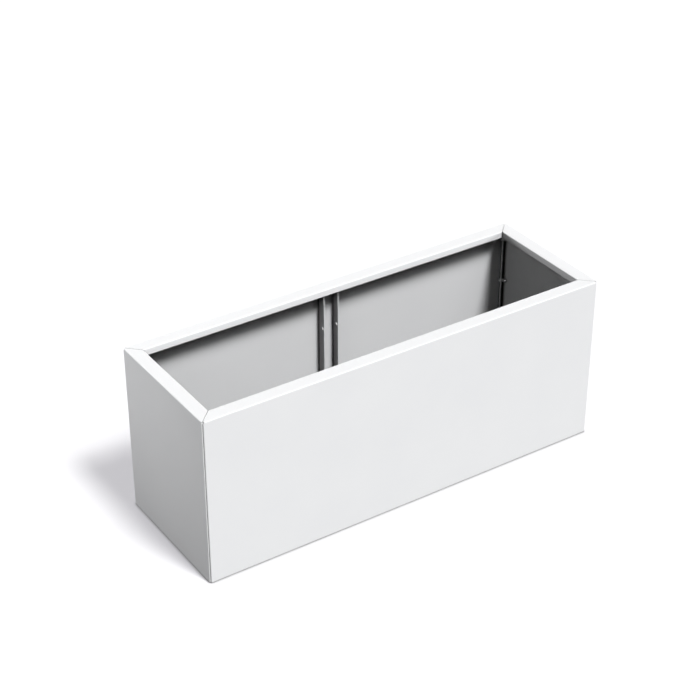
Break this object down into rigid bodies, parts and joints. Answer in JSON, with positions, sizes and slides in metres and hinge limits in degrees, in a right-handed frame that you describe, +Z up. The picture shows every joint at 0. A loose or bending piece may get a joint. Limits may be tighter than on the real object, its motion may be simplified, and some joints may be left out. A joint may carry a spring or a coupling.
{
  "type": "planter",
  "caption": "Long rectangular floor planter of folded white-coated sheet, open at the top, with a mitred rim, bolted inner corner flanges, wall stiffeners and loose drained floor trays.",
  "frame": {"origin": "centre of the footprint, on the ground", "axes": "+X along the length to the right end, +Y from the front wall to the back wall, +Z up"},
  "size_m": [1.5, 0.5, 0.6],
  "materials": {
    "white_coat": "matt white powder coat with a fine texture",
    "galvanised_sheet": "hot-dip galvanised, weathered to a dull dark grey",
    "zinc_plate": "bright zinc plate"
  },
  "bodies": {
    "shell": {"front_panel": "white_coat", "back_panel": "white_coat", "left_end_panel": "white_coat", "right_end_panel": "white_coat", "front_stiffener": "white_coat", "back_stiffener": "white_coat", "front_left_corner_bolts": "zinc_plate", "front_left_corner_washers": "zinc_plate", "front_left_corner_nuts": "zinc_plate", "front_right_corner_bolts": "zinc_plate", "front_right_corner_washers": "zinc_plate", "front_right_corner_nuts": "zinc_plate", "back_left_corner_bolts": "zinc_plate", "back_left_corner_washers": "zinc_plate", "back_left_corner_nuts": "zinc_plate", "back_right_corner_bolts": "zinc_plate", "back_right_corner_washers": "zinc_plate", "back_right_corner_nuts": "zinc_plate"},
    "left_floor": {"left_floor_tray": "galvanised_sheet"},
    "right_floor": {"right_floor_tray": "galvanised_sheet"}
  },
  "joints": [
    {"name": "left_floor_lift", "type": "slide", "parent": "shell", "child": "left_floor", "axis": [0, 0, 1], "range_m": [0, 0.54]},
    {"name": "right_floor_lift", "type": "slide", "parent": "shell", "child": "right_floor", "axis": [0, 0, 1], "range_m": [0, 0.54]}
  ]
}
